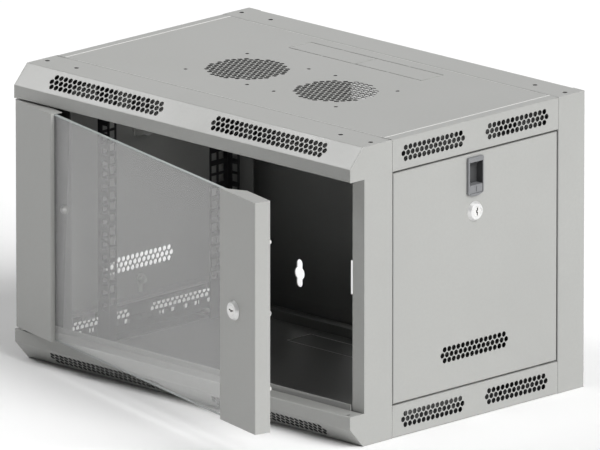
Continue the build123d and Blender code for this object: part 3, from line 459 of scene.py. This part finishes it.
def ridges(name, lines, up, width, height, material, body, sink=0.00015):
    """Half-round ridges along straight lines on a sheet whose outside faces up, in the given material."""
    verts, faces = [], []
    up = Vector(up)
    for a, b in lines:
        a, b = Vector(a), Vector(b)
        side = up.cross((b - a).normalized())
        profile = [(-0.5, -1), (-0.5, 0.0), (-0.38, 0.6), (0.0, 1.0), (0.38, 0.6), (0.5, 0.0), (0.5, -1)]
        base = len(verts)
        for end, inset in ((a, 1), (b, -1)):
            for k, (q, t) in enumerate(profile):
                lift = t * height if t >= 0 else -sink
                pull = (b - a).normalized() * (height * inset * max(t, 0.0))
                verts.append(end + side * (q * width) + up * lift + pull)
        n = len(profile)
        for k in range(n):
            j = (k + 1) % n
            faces.append((base + k, base + j, base + n + j, base + n + k))
        faces.append(tuple(base + k for k in reversed(range(n))))
        faces.append(tuple(base + n + k for k in range(n)))
    return add_piece(name, verts, faces, material, body)


ROOF = HALF_Z
# painted highlight: pale beads along the roof panel's side and end seams stand in for the light caught by its rounded
# edges
roof_sides = [((sx * 0.2705, yf(72.0), ROOF), (sx * 0.2705, yf(353.6), ROOF)) for sx in (-1, 1)]
ridges("roof_edge_highlight_beads", roof_sides, (0, 0, 1), 0.0015, 0.0005, paint_ridge_highlight, "cabinet")
roof_ends = [((-0.2665, yf(d), ROOF), (0.2665, yf(d), ROOF)) for d in (72.3, 352.4)]
ridges("roof_end_highlight_beads", roof_ends, (0, 0, 1), 0.0007, 0.0002, paint_ridge_highlight, "cabinet")


def window_outline(z, grow):
    x, y0, y1 = 0.1132 + grow, yf(294.8) - grow, yf(333.6) + grow
    lines = [((-x, y, z), (x, y, z)) for y in (y0, y1)]
    lines += [((sx * x, y0, z), (sx * x, y1, z)) for sx in (-1, 1)]
    return lines


# painted light: near-white beads along the floor's break-out slots stand in for the light shining up through them
ridges("floor_window_slot_light", window_outline(zb(1.2), 0.0006), (0, 0, 1), 0.0016, 0.0005, paint_slot_light, "cabinet")

# painted shade: near-black strips at the bottom of the roof's break-out slots make the slots read dark
slots = window_outline(ROOF - 0.0011, -0.0008) + [((0.0, yf(296.4), ROOF - 0.0011), (0.0, yf(332.0), ROOF - 0.0011))]
ridges("roof_window_slot_shade", slots, (0, 0, 1), 0.00155, 0.0004, paint_hollow_shade, "cabinet", sink=0.00005)

# compression spring under the sprung hinge pin's collar, with its closed ends
SPRING_Z0, SPRING_Z1, COIL_R, WIRE_R = 0.3015, 0.3220, 0.0035, 0.00035
TURNS, STEPS, RING = 7.0, 40, 12
spring_axis = Vector((-0.275, -0.393, 0.0))
verts, faces = [], []
count = int(TURNS * STEPS)
centre_line = []
for i in range(count + 1):
    t = i / count
    # the first and last turn lie flat
    lead = min(max((t * TURNS - 0.8) / (TURNS - 1.6), 0.0), 1.0)
    rise = 2 * WIRE_R * (min(t * TURNS, 0.8) / 0.8 + max(t * TURNS - TURNS + 0.8, 0.0) / 0.8) * 0.9
    height = SPRING_Z1 - SPRING_Z0 - 2 * WIRE_R - 2 * 2 * WIRE_R * 0.9
    a = 2 * math.pi * t * TURNS
    z = zb(0) + SPRING_Z0 + WIRE_R + rise + lead * height
    centre_line.append(spring_axis + Vector((COIL_R * math.cos(a), COIL_R * math.sin(a), z)))
for i, c in enumerate(centre_line):
    ahead = centre_line[min(i + 1, count)] - centre_line[max(i - 1, 0)]
    ahead.normalize()
    outwards = Vector((c.x - spring_axis.x, c.y - spring_axis.y, 0)).normalized()
    up = ahead.cross(outwards)
    for k in range(RING):
        b = 2 * math.pi * k / RING
        verts.append(c + (outwards * math.cos(b) + up * math.sin(b)) * WIRE_R)
for i in range(count):
    for k in range(RING):
        j = (k + 1) % RING
        faces.append((i * RING + k, i * RING + j, (i + 1) * RING + j, (i + 1) * RING + k))
faces.append(tuple(reversed(range(RING))))
faces.append(tuple(count * RING + k for k in range(RING)))
spring = add_piece("hinge_pin_coil_spring", verts, faces, zinc, "door", smooth=True)
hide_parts("upper_hinge_spring")
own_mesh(spring)

# ---------------------------------------------------------------------------
# floor and light
# ---------------------------------------------------------------------------


def floor_material():
    m, nt, out = new_material("pale_floor")
    tc = nt.nodes.new("ShaderNodeTexCoord").outputs["Object"]
    cloud = noise(nt, tc, 1.2, 2.0, 0.5)
    fine = noise(nt, tc, 400.0, 2.0, 0.6)
    p = nt.nodes.new("ShaderNodeBsdfPrincipled")
    link(nt, mix_colour(nt, ramp(nt, cloud, 0.3, 0.7, 0.0, 1.0), (0.955, 0.955, 0.955), (0.965, 0.965, 0.965)), p.inputs["Base Color"])
    p.inputs["Roughness"].default_value = 0.85
    p.inputs["Specular IOR Level"].default_value = 0.1
    b = nt.nodes.new("ShaderNodeBump")
    b.inputs["Strength"].default_value = 0.04
    b.inputs["Distance"].default_value = 0.0002
    link(nt, fine, b.inputs["Height"])
    link(nt, b.outputs["Normal"], p.inputs["Normal"])
    link(nt, p.outputs["BSDF"], out.inputs["Surface"])
    return m


floor_mesh = bpy.data.meshes.new("floor")
FLOOR = 120.0
z0 = zb(-0.3)
floor_mesh.from_pydata(
    [(-FLOOR, -FLOOR, z0), (FLOOR, -FLOOR, z0), (FLOOR, FLOOR, z0), (-FLOOR, FLOOR, z0)],
    [],
    [(0, 1, 2, 3)],
)
floor = bpy.data.objects.new("floor", floor_mesh)
floor_mesh.materials.append(floor_material())
bpy.context.scene.collection.objects.link(floor)

world = bpy.data.worlds.new("studio")
world.use_nodes = True
bpy.context.scene.world = world
background = world.node_tree.nodes["Background"]
background.inputs["Color"].default_value = (1.0, 1.0, 1.0, 1.0)
# dim above, and as pale as the floor at the horizon and below it
sky = world.node_tree.nodes.new("ShaderNodeTexCoord")
height = world.node_tree.nodes.new("ShaderNodeSeparateXYZ")
link(world.node_tree, sky.outputs["Generated"], height.inputs["Vector"])
link(world.node_tree, ramp(world.node_tree, height.outputs["Z"], 0.02, 0.04, 1.0, 0.04), background.inputs["Strength"])

# soft lamps, each given by where it shines from
LAMPS = {
    "right_top": ((0.80, 0.0, 0.60), 50, 3.60),
    "top": ((0.05, 0.05, 1.0), 40, 0.50),
    "left_top": ((-0.683, -0.317, 0.658), 14, 1.00),
    "back_left_low": ((-0.68, 0.68, 0.26), 30, 0.18),
}
for lamp_name, (come_from, angle, strength) in LAMPS.items():
    data = bpy.data.lights.new(lamp_name, "SUN")
    data.angle = math.radians(angle)
    data.energy = strength
    lamp = bpy.data.objects.new(lamp_name, data)
    lamp.rotation_mode = "QUATERNION"
    lamp.rotation_quaternion = Vector(come_from).to_track_quat("Z", "Y")
    bpy.context.scene.collection.objects.link(lamp)

bpy.context.scene.view_settings.view_transform = "Standard"
bpy.context.scene.view_settings.look = "None"
